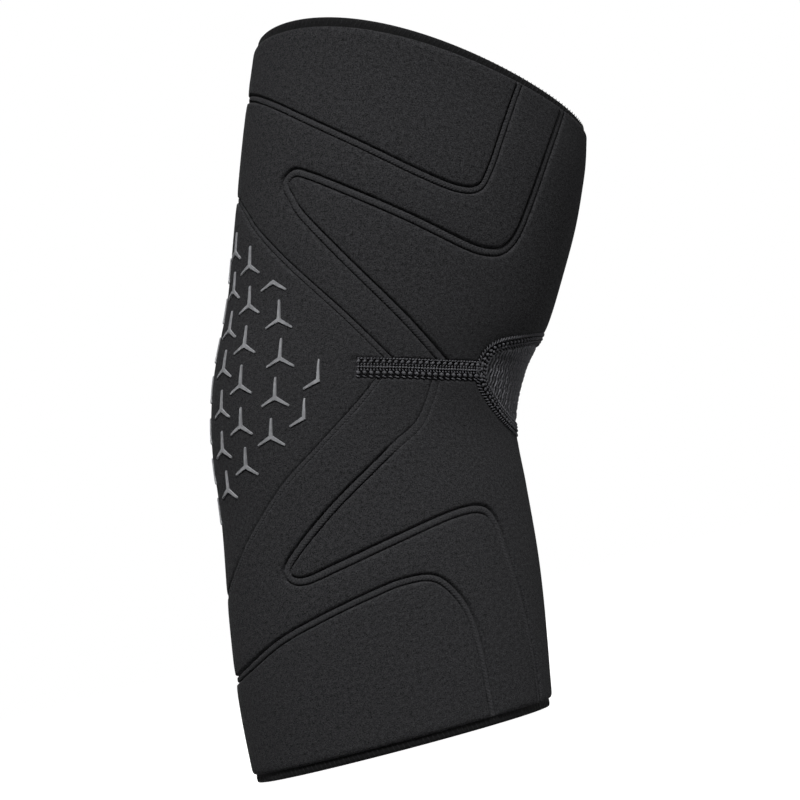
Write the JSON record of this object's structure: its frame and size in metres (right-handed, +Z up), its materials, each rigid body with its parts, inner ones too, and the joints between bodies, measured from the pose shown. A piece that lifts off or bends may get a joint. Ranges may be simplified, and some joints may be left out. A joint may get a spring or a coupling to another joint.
{
  "type": "elbow pad",
  "caption": "Padded elbow sleeve: a bent knit tube with thin foam panels parted by pressed channels, an elbow pad, flat side seams and a mesh insert in the crook.",
  "frame": {"origin": "centre of the object's bounding box, on the plane of the forearm hem that it stands on", "axes": "+Z up, from the forearm hem towards the upper arm; +X towards the crook of the elbow; +Y to the sleeve's left, across the arm"},
  "size_m": [0.1607, 0.0834, 0.2366],
  "materials": {
    "cover_knit": "brushed matt black stretch knit, heat-bonded to the foam",
    "pad_foam": "closed-cell foam, hidden under the cover knit",
    "base_knit": "smooth black lining knit",
    "hem_knit": "folded black knit edge, overlocked",
    "hem_elastic": "woven black elastic tape",
    "grip_silicone": "translucent silicone grip strip",
    "mesh_knit": "black ribbed mesh knit",
    "seam_thread": "dark flatlock stitching"
  },
  "bodies": {
    "forearm": {"forearm_hem_edge": "hem_knit", "forearm_hem_elastic": "hem_elastic", "forearm_base_knit": "base_knit", "elbow_base_knit": "base_knit", "elbow_pad_foam": "pad_foam", "elbow_pad_cover": "cover_knit", "forearm_band_foam": "pad_foam", "forearm_band_cover": "cover_knit", "forearm_front_foam": "pad_foam", "forearm_front_cover": "cover_knit", "forearm_field_foam": "pad_foam", "forearm_field_cover": "cover_knit", "crook_mesh": "mesh_knit", "crook_border_seam": "seam_thread", "side_seam_left": "seam_thread", "side_seam_right": "seam_thread"},
    "upper_arm": {"upper_base_knit": "base_knit", "upper_hem_edge": "hem_knit", "upper_hem_elastic": "hem_elastic", "upper_grip_strip": "grip_silicone", "upper_field_foam": "pad_foam", "upper_field_cover": "cover_knit", "upper_band_foam": "pad_foam", "upper_band_cover": "cover_knit", "upper_front_foam": "pad_foam", "upper_front_cover": "cover_knit"}
  },
  "joints": [
    {"name": "elbow_flex", "type": "hinge", "parent": "forearm", "child": "upper_arm", "pos_m": [-0.001, 0, 0.115], "axis": [0, 1, 0], "range_deg": [-25, 90], "stiffness_Nm_per_rad": 0.4, "deforming": ["elbow_base_knit", "upper_band_foam", "upper_band_cover", "upper_front_foam", "upper_front_cover", "elbow_pad_foam", "elbow_pad_cover", "forearm_band_foam", "forearm_band_cover", "forearm_front_foam", "forearm_front_cover", "crook_mesh", "crook_border_seam", "side_seam_left", "side_seam_right"]}
  ]
}
